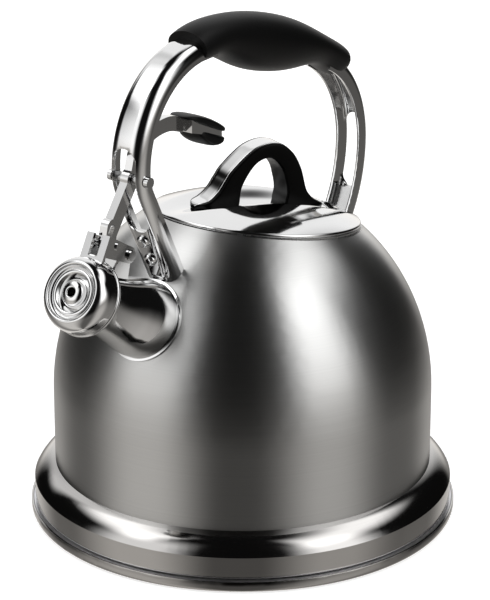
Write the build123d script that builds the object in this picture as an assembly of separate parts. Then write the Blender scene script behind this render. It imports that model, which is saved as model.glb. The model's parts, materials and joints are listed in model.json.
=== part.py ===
from build123d import *
import os
from math import atan2, cos, degrees, hypot, radians, sin, sqrt

# Stovetop whistling kettle, in millimetres: +Z up, spout towards -X, origin under the base centre.

# Base: a steel cap pressed over a heat-spreading core, under a wide pan
base_lip = 2.0
base_cap_height = 6.0
base_sheet = 1.0
base_edge_round = 3.0
base_core_gap = 0.2
pan_margin = 10.8
pan_band_top = 18.2
pan_bulge = 2.0
pan_corner_round = 2.5

# Body: straight wall and an elliptic dome
body_radius = 97.2
body_joint_z = 27.8
body_wall_top = 66.0
dome_height = 106.5
body_sheet = 1.0
shell_share = 0.9
dome_steps = 9
quarter_turn = 90.0
half_turn = 180.0
body_top = body_wall_top + dome_height
pan_radius = body_radius + pan_margin
base_radius = pan_radius + base_lip

# Lid seat: a plane cut across the dome, off centre to the rear and leaning that way
lid_offset = 12.2
lid_height_share = 0.8291
lid_plane_z = body_wall_top + dome_height * lid_height_share
lid_tilt = 8.5
lid_turn = -29.0
lid_radius = 52.9
seat_sheet = 1.2
seat_margin = 0.3
neck_radius = 47.0
neck_depth = 9.0

# Lid: shallow cap with a valley pressed across it under the knob
lid_sheet = 1.0
lid_gap = 0.2
lid_rim_height = 1.4
lid_crown = 8.6
valley_floor = 3.6
valley_radius = 26.0
plug_depth = 8.0
plug_clearance = 0.7
plug_sheet = 1.0

# Knob: arched black core with a bright strap over it
knob_width = 18.0
knob_outline = (
    (-38.0, 3.0),
    (-30.5, 5.0),
    (-26.0, 9.5),
    (-18.8, 21.2),
    (-8.0, 31.6),
    (3.5, 35.0),
    (12.1, 31.2),
    (18.1, 23.0),
    (22.1, 12.3),
    (28.0, 6.0),
    (36.0, 3.0),
)
knob_hole = ((-16.3, 4.0), (-14.0, 17.0), (-8.0, 25.0), (-0.8, 28.8))
knob_hole_back = ((3.2, 22.8), (2.4, 13.0), (0.5, 4.0))
strap_sheet = 1.4
strap_width = 15.0
knob_screw_places = (-22.0, 14.0)
knob_screw_radius = 1.7
knob_screw_head_radius = 3.4
knob_screw_head_height = 1.8
knob_screw_bite = 7.0

# Spout: tube at a slant, flared where it meets the dome
cap_lead = 39.2
cap_drop = 16.7
spout_angle = 29.4
spout_radius = 14.5
spout_sheet = 1.2
spout_flare_start = 33.0
spout_flare_end = 50.0
spout_base_radius = 19.2
spout_root_depth = 80.0
collar_radius = 20.7
collar_height = 1.5

# Whistle cap on the spout mouth, depths counted back from its front face
cap_ring_radius = 14.2
cap_radius = 18.5
cap_shoulder_depth = 7.0
cap_depth = 14.0
cap_sheet = 1.2
cap_window_radius = 11.0
whistle_sheet = 0.8
whistle_rim_radius = 12.8
whistle_land_radius = 9.6
whistle_recess_radius = 6.6
whistle_recess_depth = 4.4
whistle_dome_depth = 1.9
whistle_hole_radius = 2.4
rear_disc_depth = 9.4
mouth_gap = 0.3

# Hinge of the cap above the spout, in depth behind the cap's front and height above the spout's axis
hinge_depth = 26.8
hinge_height = 25.8
hinge_rivet_radius = 1.5
hinge_head_radius = 2.6
hinge_head_height = 1.2
running_clearance = 0.08
side_clearance = 0.25
link_ahead = 11.5
link_above = 1.5
link_pin_radius = 1.2
link_head_radius = 1.9
link_head_height = 0.8
bracket_sheet = 1.5
bracket_width = 13.7
bracket_front_depth = 8.0
bracket_top = 30.4
bracket_bottom = 20.0
bracket_knuckle_radius = 4.0
fork_slot_width = 5.4
fork_slot_bottom = 19.6
ear_sheet = 1.5
ear_gap = 0.45
ear_knuckle_radius = 3.4
ear_foot_length = 13.0
ear_saddle_height = 1.6

# Front handle arm: outer line of the channel
front_width = 20.0
front_arc_radius = 55.5
front_arc_reach = 39.3
front_arc_rise = 30.5
front_bend_radius = 30.0
front_leg_lean = 26.6
front_leg_length = 70.0
front_start_angle = 82.0
front_slot_top_rise = 43.0
front_slot_bottom_rise = -1.5
front_slot_width = 14.0
front_round = 6.5

# Rear handle arm
rear_width = 15.0
rear_arc_radius = 59.0
rear_arc_reach = 42.2
rear_arc_rise = 2.5
rear_leg_radius = 78.0
rear_leg_sweep = 60.0
rear_start_angle = 64.0
rear_slot_top_rise = 15.5
rear_slot_bottom_rise = -24.5
rear_slot_width = 12.0
rear_round = 4.0

# Channel of both arms, and the brackets and screws that hold their feet
channel_depth = 9.0
channel_sheet = 1.5
slot_round_share = 0.49
bracket_plate = 2.5
bracket_flange = 5.0
foot_screw_radius = 1.9
foot_screw_head_radius = 3.4
foot_screw_head_height = 2.2
foot_screw_head_round = 1.9
foot_screw_pitch = 12.0
foot_screw_inset = 6.0

# Lever: pin in the front arm, cam slot at the lower end, trigger tongue at the upper end
lever_pin_inset = 6.0
lever_pin_rise = 27.1
lever_pin_radius = 1.5
lever_pin_head_radius = 2.8
lever_pin_head_height = 2.2
spacer_radius = 2.6
lever_depth = 7.4
lever_thickness = 4.5
lever_swing = 15.0
cap_swing = 45.0
lever_hub_radius = 5.0
lever_eye_radius = 4.0
cam_clearance = 0.35
lever_bend = ((-4.6, 11.8), (-13.3, 18.9), (-26.0, 21.0))
tongue_root_place = (-38.8, 17.6)
tongue_tip_place = (-66.8, 7.0)
tongue_root_depth = 6.6
tongue_tip_depth = 2.4
tongue_width = 14.0
tongue_round = 6.0
top_pad_length = 32.0
top_pad_width = 17.0
top_pad_height = 3.8
low_pad_length = 20.0
low_pad_width = 13.5
low_pad_height = 4.4
pad_tip_margin = 0.5
pad_round = 0.9
pad_end_share = 0.6
pad_edge_share = 0.9

# Grip: oval sections, each as (reach towards the spout, height over the body's top, height, width)
grip_sections = (
    (44.0, 82.1, 16.0, 23.5),
    (34.0, 83.2, 18.5, 24.5),
    (23.0, 82.7, 20.3, 25.5),
    (2.0, 76.9, 27.6, 28.0),
    (-19.0, 70.8, 29.2, 29.0),
    (-40.0, 65.3, 24.8, 27.0),
    (-57.0, 60.1, 18.0, 24.0),
    (-70.0, 53.5, 17.0, 22.0),
    (-80.0, 48.8, 14.5, 19.0),
)

# Reach of helper solids that only cut away
clear_of_all = 200.0

# Places that follow from the sizes above
front_reach = front_arc_reach + front_arc_radius
front_arc_z = body_top + front_arc_rise
front_slot_top = body_top + front_slot_top_rise
front_slot_bottom = body_top + front_slot_bottom_rise
rear_arc_z = body_top + rear_arc_rise
rear_slot_top = body_top + rear_slot_top_rise
rear_slot_bottom = body_top + rear_slot_bottom_rise
cap_front_reach = front_reach + cap_lead
cap_front_z = body_top - cap_drop
spout_out = Vector(-cos(radians(spout_angle)), 0, sin(radians(spout_angle)))
spout_up = Vector(sin(radians(spout_angle)), 0, cos(radians(spout_angle)))
spout_frame = Plane(origin=(-cap_front_reach, 0, cap_front_z), x_dir=spout_up, z_dir=spout_out)
lid_frame = Plane(
    origin=(lid_offset, 0, lid_plane_z),
    x_dir=(cos(radians(lid_tilt)), 0, -sin(radians(lid_tilt))),
    z_dir=(sin(radians(lid_tilt)), 0, cos(radians(lid_tilt))),
)
knob_frame = Plane(
    origin=lid_frame.origin,
    x_dir=lid_frame.x_dir.rotate(Axis((0, 0, 0), lid_frame.z_dir), lid_turn),
    z_dir=lid_frame.z_dir,
)
lever_pivot = Vector(lever_pin_inset - front_reach, body_top + lever_pin_rise)
tongue_root = lever_pivot - Vector(tongue_root_place[0], -tongue_root_place[1])
tongue_tip = lever_pivot - Vector(tongue_tip_place[0], -tongue_tip_place[1])
mouth_depth = rear_disc_depth + whistle_sheet + mouth_gap
neck_outer_radius = neck_radius + seat_sheet


def turned(outline):
    """Solid of revolution about Z from a closed outline in the XZ plane."""
    return revolve(Plane.XZ * make_face(outline), axis=Axis.Z)


def plate(outline, width):
    """Plate of the given width, centred on the XZ plane, from a closed outline in that plane."""
    return extrude(Plane.XZ * make_face(outline), amount=width / 2, both=True)


def bar_across(x, z, radius, width):
    """Round bar along Y, centred on the XZ plane."""
    return Pos(x, 0, z) * Rot(X=90) * Cylinder(radius, width)


def peg(x, z, radius, inner, outer, side):
    """Round peg along Y between two distances from the XZ plane, on one side of it."""
    middle = side * (inner + outer) / 2
    return Pos(x, middle, z) * Rot(X=90) * Cylinder(radius, outer - inner)


def dome_edge(offset=0.0):
    """Quarter of an ellipse from the top of the body's wall to its apex, moved out by the offset."""
    radius = body_radius + offset
    height = dome_height + offset
    angles = [radians(quarter_turn * step / dome_steps) for step in range(dome_steps + 1)]
    points = [(radius * cos(angle), body_wall_top + height * sin(angle)) for angle in angles]
    return Spline(*points, tangents=[(0, 1), (-1, 0)])


def dome(offset=0.0):
    """Solid inside the body's outer surface, moved out by the offset."""
    radius = body_radius + offset
    edge = dome_edge(offset)
    return turned([
        Line((0, body_joint_z), (radius, body_joint_z)),
        Line((radius, body_joint_z), (radius, body_wall_top)),
        edge,
        Line(edge @ 1, (0, body_joint_z)),
    ])


def base_cap():
    outer = turned(FilletPolyline(
        (0, 0), (base_radius, 0), (base_radius, base_cap_height), (0, base_cap_height),
        radius=[0, base_edge_round, 0, 0], close=True))
    return outer - Pos(0, 0, base_sheet) * Cylinder(
        base_radius - base_sheet, base_cap_height, align=(Align.CENTER, Align.CENTER, Align.MIN))


def base_core():
    return Pos(0, 0, base_sheet) * Cylinder(
        base_radius - base_sheet - base_core_gap, base_cap_height - base_sheet,
        align=(Align.CENTER, Align.CENTER, Align.MIN))


def pan_solid(inset):
    """Solid inside the pan's outer surface, or inside its wall when inset by the sheet."""
    outer = pan_radius - inset
    top = body_radius - inset
    low = base_cap_height + inset
    middle = ((outer + top + pan_bulge) / 2, (pan_band_top + body_joint_z + pan_bulge) / 2)
    skirt = ThreePointArc((outer, pan_band_top), middle, (top, body_joint_z))
    side = FilletPolyline((0, low), (outer, low), (outer, pan_band_top), radius=pan_corner_round - inset)
    return turned([
        side,
        skirt,
        Polyline((top, body_joint_z), (0, body_joint_z), (0, low)),
    ])


def base_pan():
    return pan_solid(0) - pan_solid(base_sheet)


def spout_solid(inset):
    """Spout tube before it is trimmed to the dome, or its bore when inset by the sheet."""
    return spout_frame * turned(FilletPolyline(
        (0, -mouth_depth), (spout_radius - inset, -mouth_depth), (spout_radius - inset, -spout_flare_start),
        (spout_base_radius - inset, -spout_flare_end), (spout_base_radius - inset, -spout_root_depth),
        (0, -spout_root_depth),
        radius=[0, 0, 0, spout_radius, 0, 0], close=True))


def body_shell():
    inner = body_radius - body_sheet
    outside = dome_edge().trim(0, shell_share)
    inside = dome_edge(-body_sheet).trim(0, shell_share)
    shell = turned([
        Line((inner, body_joint_z), (body_radius, body_joint_z)),
        Line((body_radius, body_joint_z), (body_radius, body_wall_top)),
        outside,
        Line(outside @ 1, inside @ 1),
        inside,
        Line((inner, body_wall_top), (inner, body_joint_z)),
    ])
    opening = Pos(0, 0, -seat_sheet) * Cylinder(
        lid_radius + seat_margin + seat_sheet, clear_of_all, align=(Align.CENTER, Align.CENTER, Align.MIN))
    return shell - lid_frame * opening - spout_solid(spout_sheet)


def lid_seat():
    return lid_frame * turned(FilletPolyline(
        (neck_radius, 0), (lid_radius + seat_margin, 0), (lid_radius + seat_margin, -seat_sheet),
        (neck_outer_radius, -seat_sheet), (neck_outer_radius, -neck_depth), (neck_radius, -neck_depth),
        radius=[seat_sheet, 0, 0, 0, 0, 0], close=True))


def spout_tube():
    return spout_solid(0) - spout_solid(spout_sheet) - dome()


def spout_collar():
    reach = Pos(0, 0, -spout_root_depth) * Cylinder(
        collar_radius, spout_root_depth, align=(Align.CENTER, Align.CENTER, Align.MIN))
    return (spout_frame * reach & (dome(collar_height) - dome())) - spout_solid(0)


def cap_solid():
    """Solid inside the cap's outer surface."""
    return turned([
        Line((0, 0), (cap_ring_radius, 0)),
        EllipticalCenterArc((cap_ring_radius, -cap_shoulder_depth), cap_radius - cap_ring_radius,
                            cap_shoulder_depth, 0, arc_size=quarter_turn),
        Line((cap_radius, -cap_shoulder_depth), (cap_radius, -cap_depth)),
        Line((cap_radius, -cap_depth), (0, -cap_depth)),
        Line((0, -cap_depth), (0, 0)),
    ])


def cap_hollow():
    """Space inside the cap, open at the rear."""
    inner = cap_radius - cap_sheet
    shoulder = cap_shoulder_depth - cap_sheet
    return turned([
        Line((0, -cap_sheet), (cap_ring_radius, -cap_sheet)),
        EllipticalCenterArc((cap_ring_radius, -cap_shoulder_depth), inner - cap_ring_radius, shoulder, 0,
                            arc_size=quarter_turn),
        Line((inner, -cap_shoulder_depth), (inner, -cap_depth)),
        Line((inner, -cap_depth), (0, -cap_depth)),
        Line((0, -cap_depth), (0, -cap_sheet)),
    ])


def cap_shell():
    window = Cylinder(cap_window_radius, clear_of_all)
    return spout_frame * (cap_solid() - cap_hollow() - window)


def whistle_front_disc():
    """Dished disc behind the cap's window, with a pierced dome in its middle."""
    floor = -cap_sheet - whistle_recess_depth
    crest = floor + whistle_recess_depth - whistle_dome_depth
    front = [
        (whistle_hole_radius, crest), (whistle_recess_radius, floor), (whistle_land_radius, -cap_sheet),
        (whistle_rim_radius, -cap_sheet),
    ]
    back = [(radius, depth - whistle_sheet) for radius, depth in reversed(front)]
    return spout_frame * turned(Polyline(*front, *back, close=True))


def whistle_rear_disc():
    disc = Cylinder(cap_radius - cap_sheet, whistle_sheet, align=(Align.CENTER, Align.CENTER, Align.MAX))
    hole = Cylinder(whistle_hole_radius, clear_of_all)
    return spout_frame * (Pos(0, 0, -rear_disc_depth) * disc - hole)


def hinge_bar(radius, width):
    return spout_frame * bar_across(hinge_height, -hinge_depth, radius, width)


def link_bar(radius, width):
    return spout_frame * bar_across(hinge_height + link_above, link_ahead - hinge_depth, radius, width)


def cap_bracket():
    """Bent plate on the cap: a forked front and two cheeks that reach back to the hinge."""
    front_face = bracket_sheet / 2 - bracket_front_depth
    back_face = front_face - bracket_sheet
    knuckle_top = (hinge_height + bracket_knuckle_radius, -hinge_depth)
    knuckle_end = (hinge_height, -hinge_depth - bracket_knuckle_radius)
    knuckle_low = (hinge_height - bracket_knuckle_radius, -hinge_depth)
    cheek = plate([
        Line((bracket_bottom, front_face), (bracket_top, front_face)),
        Line((bracket_top, front_face), knuckle_top),
        ThreePointArc(knuckle_top, knuckle_end, knuckle_low),
        Line(knuckle_low, (bracket_bottom, front_face)),
    ], bracket_width)
    gap = plate(Polyline(
        (0, back_face), (clear_of_all, back_face), (clear_of_all, -clear_of_all), (0, -clear_of_all),
        close=True), bracket_width - 2 * bracket_sheet)
    front = plate(Polyline(
        (0, front_face), (bracket_top, front_face), (bracket_top, back_face), (0, back_face),
        close=True), bracket_width)
    slot = plate(Polyline(
        (fork_slot_bottom, 0), (clear_of_all, 0), (clear_of_all, -hinge_depth), (fork_slot_bottom, -hinge_depth),
        close=True), fork_slot_width)
    bent = spout_frame * (cheek - gap + front - slot - cap_solid())
    return bent - hinge_bar(hinge_rivet_radius + running_clearance, clear_of_all) - link_bar(
        link_pin_radius, clear_of_all)


def link_pin():
    head_end = bracket_width / 2 + link_head_height
    pin = link_bar(link_pin_radius, bracket_width)
    x, z = hinge_height + link_above, link_ahead - hinge_depth
    for side in (-1, 1):
        pin += spout_frame * peg(x, z, link_head_radius, bracket_width / 2, head_end, side)
    return pin


def ear_outer():
    """Half width over the two ears, inside the bracket's cheeks."""
    return bracket_width / 2 - bracket_sheet - ear_gap


def spout_ear():
    """Two ears on a saddle over the spout, carrying the cap's hinge rivets."""
    foot_front = ear_foot_length / 2 - hinge_depth
    foot_back = -ear_foot_length / 2 - hinge_depth
    knuckle_front = (hinge_height, ear_knuckle_radius - hinge_depth)
    knuckle_top = (hinge_height + ear_knuckle_radius, -hinge_depth)
    knuckle_back = (hinge_height, -ear_knuckle_radius - hinge_depth)
    ears = plate([
        Line((0, foot_front), (spout_radius, foot_front)),
        Line((spout_radius, foot_front), knuckle_front),
        ThreePointArc(knuckle_front, knuckle_top, knuckle_back),
        Line(knuckle_back, (spout_radius, foot_back)),
        Line((spout_radius, foot_back), (0, foot_back)),
        Line((0, foot_back), (0, foot_front)),
    ], 2 * ear_outer())
    gap = plate(Polyline(
        (spout_radius + ear_saddle_height, -clear_of_all), (clear_of_all, -clear_of_all),
        (clear_of_all, 0), (spout_radius + ear_saddle_height, 0), close=True), 2 * (ear_outer() - ear_sheet))
    return spout_frame * (ears - gap) - spout_solid(0) - hinge_bar(hinge_rivet_radius, clear_of_all)


def hinge_rivets():
    inner = ear_outer() - ear_sheet
    outer = bracket_width / 2 + side_clearance
    rivets = []
    for side in (-1, 1):
        shank = peg(hinge_height, -hinge_depth, hinge_rivet_radius, inner, outer, side)
        head = peg(hinge_height, -hinge_depth, hinge_head_radius, outer, outer + hinge_head_height, side)
        rivets.append(spout_frame * (shank + head))
    return Compound(children=rivets)


def channel_section(width, rounding):
    """U section: the web along X at zero, walls towards +Y, with rounded outer corners."""
    half = width / 2
    outer = make_face(FilletPolyline(
        (-half, 0), (half, 0), (half, channel_depth), (-half, channel_depth),
        radius=[rounding, rounding, 0, 0], close=True))
    inside = half - channel_sheet
    inner = make_face(FilletPolyline(
        (-inside, channel_sheet), (inside, channel_sheet), (inside, 2 * channel_depth), (-inside, 2 * channel_depth),
        radius=[rounding - channel_sheet, rounding - channel_sheet, 0, 0], close=True))
    return outer - inner


def front_line():
    """Line of the front arm's web, on its outer face, from the grip to the foot."""
    arc = CenterArc((-front_arc_reach, front_arc_z), front_arc_radius, front_start_angle,
                    half_turn - front_start_angle)
    bend_centre = (-front_arc_reach - front_arc_radius + front_bend_radius, front_arc_z)
    bend = CenterArc(bend_centre, front_bend_radius, half_turn, front_leg_lean)
    leg = PolarLine(bend @ 1, front_leg_length, direction=bend % 1)
    return Plane.XZ * Wire([arc, bend, leg])


def rear_line():
    """Line of the rear arm's web, on its outer face, from the grip to the foot."""
    arc = CenterArc((rear_arc_reach, rear_arc_z), rear_arc_radius, rear_start_angle, -rear_start_angle)
    leg_centre = (rear_arc_reach + rear_arc_radius - rear_leg_radius, rear_arc_z)
    leg = CenterArc(leg_centre, rear_leg_radius, 0, -rear_leg_sweep)
    return Plane.XZ * Wire([arc, leg])


def swept_channel(line, width, rounding, side):
    """Channel swept along an arm's line, its walls on the inner side of the line."""
    start = Plane(origin=line @ 0, x_dir=(0, side, 0), z_dir=line % 0)
    return sweep(start * channel_section(width, rounding), path=line)


def web_slot(width, top, bottom, direction):
    """Cutter that opens the web between two heights and leaves the two walls as legs."""
    middle = (top + bottom) / 2
    window = Plane.YZ * Pos(0, middle) * RectangleRounded(width, top - bottom, width * slot_round_share)
    return extrude(window, amount=clear_of_all * direction)


def handle_front_arm():
    arm = swept_channel(front_line(), front_width, front_round, 1) - dome() - spout_collar()
    arm -= web_slot(front_slot_width, front_slot_top, front_slot_bottom, -1)
    arm -= bar_across(lever_pivot.X, lever_pivot.Y, lever_pin_radius, clear_of_all)
    return arm - front_screws()


def handle_rear_arm():
    arm = swept_channel(rear_line(), rear_width, rear_round, -1) - dome()
    arm -= web_slot(rear_slot_width, rear_slot_top, rear_slot_bottom, 1)
    return arm - rear_screws()


def foot_planes(line, top):
    """Planes on an arm's web at its two foot screws, facing outwards, below the end of its slot."""
    length = line.length
    steps = 2000
    above = max(step for step in range(steps) if line.position_at(step / steps).Z > top)
    planes = []
    for turn in range(2):
        share = above / steps + (foot_screw_inset + turn * foot_screw_pitch) / length
        outward = Vector(line.position_at(share).X, 0, 0).normalized()
        tangent = line.tangent_at(share)
        normal = Vector(tangent.Z, 0, -tangent.X)
        planes.append(Plane(origin=line.position_at(share), x_dir=(0, 1, 0),
                            z_dir=normal if normal.dot(outward) > 0 else -normal))
    return planes


def foot_screws(line, top):
    """Two dome-head screws through an arm's web into the bracket behind it."""
    length = channel_sheet + bracket_plate
    head = Cylinder(foot_screw_head_radius, foot_screw_head_height,
                    align=(Align.CENTER, Align.CENTER, Align.MIN))
    head = fillet(head.faces().sort_by(Axis.Z)[-1].edges(), foot_screw_head_round)
    shank = Cylinder(foot_screw_radius, length, align=(Align.CENTER, Align.CENTER, Align.MAX))
    return Compound(children=[plane * (head + shank) for plane in foot_planes(line, top)])


def foot_bracket(line, top, inner_width, direction):
    """Bent plate on the dome: an upright behind an arm's web and a flange lying on the dome."""
    section = Pos(0, channel_sheet + bracket_plate / 2) * Rectangle(inner_width, bracket_plate)
    start = Plane(origin=line @ 0, x_dir=(0, direction, 0), z_dir=line % 0)
    upright = sweep(start * section, path=line)
    upright -= Pos(0, 0, top) * Box(2 * clear_of_all, 2 * clear_of_all, clear_of_all,
                                    align=(Align.CENTER, Align.CENTER, Align.MIN))
    share = foot_share(line)
    foot = line.position_at(share)
    inward = -Vector(foot.X, 0, 0).normalized()
    flange_box = Pos(foot.X + inward.X * (channel_sheet + bracket_flange / 2), 0, foot.Z) * Box(
        bracket_flange, inner_width, clear_of_all)
    flange = flange_box & (dome(bracket_plate) - dome())
    return upright + flange - dome()


def foot_share(line):
    """Share of an arm's line at which it meets the dome."""
    steps = 2000
    inside = [step for step in range(steps) if on_dome(line.position_at(step / steps))]
    return min(inside) / steps


def on_dome(point):
    """Whether a point in the XZ plane lies inside the body's outer surface."""
    return hypot(point.X / body_radius, max(point.Z - body_wall_top, 0) / dome_height) < 1


def front_bracket():
    return foot_bracket(front_line(), front_slot_bottom, front_width - 2 * front_round, 1) - front_screws()


def rear_bracket():
    return foot_bracket(rear_line(), rear_slot_bottom, rear_width - 2 * rear_round, -1) - rear_screws()


def front_screws():
    return foot_screws(front_line(), front_slot_bottom)


def rear_screws():
    return foot_screws(rear_line(), rear_slot_bottom)


def lever_pin():
    reach = front_width / 2
    pin = bar_across(lever_pivot.X, lever_pivot.Y, lever_pin_radius, front_width)
    for side in (-1, 1):
        pin += peg(lever_pivot.X, lever_pivot.Y, lever_pin_head_radius, reach,
                   reach + lever_pin_head_height, side)
    return pin


def pin_spacers():
    inner = lever_thickness / 2 + side_clearance
    outer = front_width / 2 - channel_sheet
    hole = bar_across(lever_pivot.X, lever_pivot.Y, lever_pin_radius, clear_of_all)
    cut = hole + handle_front_arm()
    return Compound(children=[
        peg(lever_pivot.X, lever_pivot.Y, spacer_radius, inner, outer, side) - cut for side in (-1, 1)])


def link_place(share):
    """Link pin's place on the lever, in the XZ plane at rest, when the cap has opened by a share."""
    start = atan2(link_above, link_ahead)
    reach = hypot(link_above, link_ahead)
    angle = start + radians(cap_swing * share)
    local = Vector(hinge_height + reach * sin(angle), 0, reach * cos(angle) - hinge_depth)
    place = spout_frame.from_local_coords(local)
    across = place.X - lever_pivot.X
    along = place.Z - lever_pivot.Y
    back = radians(lever_swing * share)
    return Vector(lever_pivot.X + across * cos(back) + along * sin(back),
                  lever_pivot.Y + along * cos(back) - across * sin(back))


def cam_slot():
    """Curved slot that the link pin runs in while lever and cap turn at a constant ratio."""
    path = ThreePointArc(link_place(0), link_place(0.5), link_place(1))
    slot_radius = link_pin_radius + cam_clearance
    slot = plate(trace(path, 2 * slot_radius).faces()[0].outer_wire(), clear_of_all)
    for end in (0, 1):
        slot += bar_across((path @ end).X, (path @ end).Y, slot_radius, clear_of_all)
    return slot


def lever():
    """Flat bar from the cam slot past its pin to a wedge-shaped tongue under the grip."""
    low = link_place(0)
    high = link_place(1)
    aim = ((low + high) / 2 - lever_pivot).normalized()
    foot = lever_pivot + aim * (low - lever_pivot).length
    bends = [lever_pivot - Vector(across, -along) for across, along in lever_bend]
    arm = Spline(lever_pivot, *bends, tongue_root, tangents=[-aim, tongue_tip - tongue_root])
    bar = plate(trace(Wire([Line(foot, lever_pivot), arm]), lever_depth).faces()[0].outer_wire(), lever_thickness)
    eye = make_hull([CenterArc((spot.X, spot.Y), lever_eye_radius, 0, 360) for spot in (low, high)])
    bar += extrude(Plane.XZ * eye, amount=lever_thickness / 2, both=True)
    bar += bar_across(lever_pivot.X, lever_pivot.Y, lever_hub_radius, lever_thickness)
    bar += tongue()
    bar -= bar_across(lever_pivot.X, lever_pivot.Y, lever_pin_radius + running_clearance, clear_of_all)
    return bar - cam_slot()


def tongue_edge(side):
    """Root and tip of the tongue's upper (1) or lower (-1) face in the XZ plane."""
    return (tongue_root + Vector(0, side * tongue_root_depth / 2), tongue_tip + Vector(0, side * tongue_tip_depth / 2))


def tongue():
    """Wedge that carries the trigger pads, rounded at its tip."""
    top_root, top_tip = tongue_edge(1)
    low_root, low_tip = tongue_edge(-1)
    wedge = plate(Polyline(top_root, top_tip, low_tip, low_root, close=True), tongue_width)
    tips = wedge.faces().sort_by(Axis.X)[-1].edges().filter_by(Axis.Z)
    return fillet(tips, tongue_round)


def pad(side, length, width, height):
    """Crowned pad on the tongue's upper (1) or lower (-1) face, just past its tip."""
    root, tip = tongue_edge(side)
    along = (tip - root).normalized()
    origin = tip + along * (pad_tip_margin - length / 2)
    normal = Vector(-along.Y, along.X) * side
    seat = Plane(origin=(origin.X, 0, origin.Y), x_dir=(along.X, 0, along.Y), z_dir=(normal.X, 0, normal.Y))
    ends = height * pad_end_share
    crown = plate([
        Polyline((length / 2, ends), (length / 2, 0), (-length / 2, 0), (-length / 2, ends)),
        ThreePointArc((-length / 2, ends), (0, height), (length / 2, ends)),
    ], width)
    crown &= extrude(RectangleRounded(length, width, width / 2 - pad_round), amount=height)
    upper = crown.edges().filter_by(lambda edge: edge.center().Z > ends * pad_edge_share)
    return seat * fillet(upper, pad_round)


def trigger_pad_top():
    return pad(1, top_pad_length, top_pad_width, top_pad_height) - lever()


def trigger_pad_bottom():
    return pad(-1, low_pad_length, low_pad_width, low_pad_height)


def grip():
    """Oval hand grip lofted along a curve and moulded round the ends of both arms."""
    places = [(-reach, body_top + rise) for reach, rise, _, _ in grip_sections]
    line = Plane.XZ * Spline(*places)
    sections = []
    for (x, z), (_, _, height, width) in zip(places, grip_sections):
        share = line.param_at_point((x, 0, z))
        station = Plane(origin=(x, 0, z), x_dir=(0, 1, 0), z_dir=line % share)
        sections.append(station * Ellipse(width / 2, height / 2))
    return loft(sections) - handle_front_arm() - handle_rear_arm()


def lid_solid(inset):
    """Solid under the lid's outer surface, or under its sheet when inset, with the valley taken out."""
    radius = lid_radius - inset
    rim_top = lid_gap + lid_rim_height
    sphere = (lid_radius ** 2 + lid_crown ** 2) / (2 * lid_crown)
    centre = rim_top + lid_crown - sphere
    crown = centre + sphere - inset
    edge = centre + sqrt((sphere - inset) ** 2 - radius ** 2)
    half = radius / 2
    shoulder = centre + sqrt((sphere - inset) ** 2 - half ** 2)
    cap = turned([
        Line((0, lid_gap), (radius, lid_gap)),
        Line((radius, lid_gap), (radius, edge)),
        ThreePointArc((radius, edge), (half, shoulder), (0, crown)),
        Line((0, crown), (0, lid_gap)),
    ])
    valley = Pos(0, 0, valley_floor + valley_radius) * Rot(Y=90) * Cylinder(valley_radius + inset, clear_of_all)
    return cap - valley


def knob_screw_shanks():
    shank = Cylinder(knob_screw_radius, knob_screw_bite + lid_sheet, align=(Align.CENTER, Align.CENTER, Align.MIN))
    return [Pos(place, 0, valley_floor - lid_sheet) * shank for place in knob_screw_places]


def lid_shell():
    shell = lid_solid(0) - lid_solid(lid_sheet)
    for shank in knob_screw_shanks():
        shell -= shank
    return knob_frame * shell


def lid_plug():
    outer = neck_radius - plug_clearance
    ring = Cylinder(outer, plug_depth, align=(Align.CENTER, Align.CENTER, Align.MAX))
    ring = Pos(0, 0, lid_gap) * ring
    upper = Cylinder(outer, clear_of_all, align=(Align.CENTER, Align.CENTER, Align.MIN))
    core = Cylinder(outer - plug_sheet, clear_of_all)
    return knob_frame * ((ring + (upper & lid_solid(lid_sheet))) - core)


def knob_line(grow):
    """Line over the knob in its own plane from toe to toe, moved out by the strap's sheet when it grows."""
    line = Spline(*knob_outline)
    if not grow:
        return line
    places = [line.param_at_point(Vector(*point)) for point in knob_outline]
    points = []
    for place in places:
        tangent = line.tangent_at(place)
        points.append(line.position_at(place) + Vector(-tangent.Y, tangent.X) * grow)
    return Spline(*points)


def knob_core():
    line = knob_line(0)
    low = lid_gap + lid_rim_height - valley_floor
    block = plate([
        line,
        Polyline(line @ 1, ((line @ 1).X, low), ((line @ 0).X, low), line @ 0),
    ], knob_width)
    rise = Spline(*knob_hole)
    fall = Spline(knob_hole[-1], *knob_hole_back)
    hole = plate([
        rise,
        fall,
        Polyline(fall @ 1, ((fall @ 1).X, low), ((rise @ 0).X, low), rise @ 0),
    ], clear_of_all)
    core = Pos(0, 0, valley_floor) * (block - hole) - lid_solid(0)
    for shank in knob_screw_shanks():
        core -= shank
    return knob_frame * core


def knob_strap():
    inside = knob_line(0)
    outside = knob_line(strap_sheet)
    strap = plate([
        inside,
        Line(inside @ 1, outside @ 1),
        outside,
        Line(outside @ 0, inside @ 0),
    ], strap_width)
    return knob_frame * (Pos(0, 0, valley_floor) * strap)


def knob_screws():
    head = Cylinder(knob_screw_head_radius, knob_screw_head_height, align=(Align.CENTER, Align.CENTER, Align.MAX))
    screws = []
    for place, shank in zip(knob_screw_places, knob_screw_shanks()):
        screws.append(knob_frame * (shank + Pos(place, 0, valley_floor - lid_sheet) * head))
    return Compound(children=screws)


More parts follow.
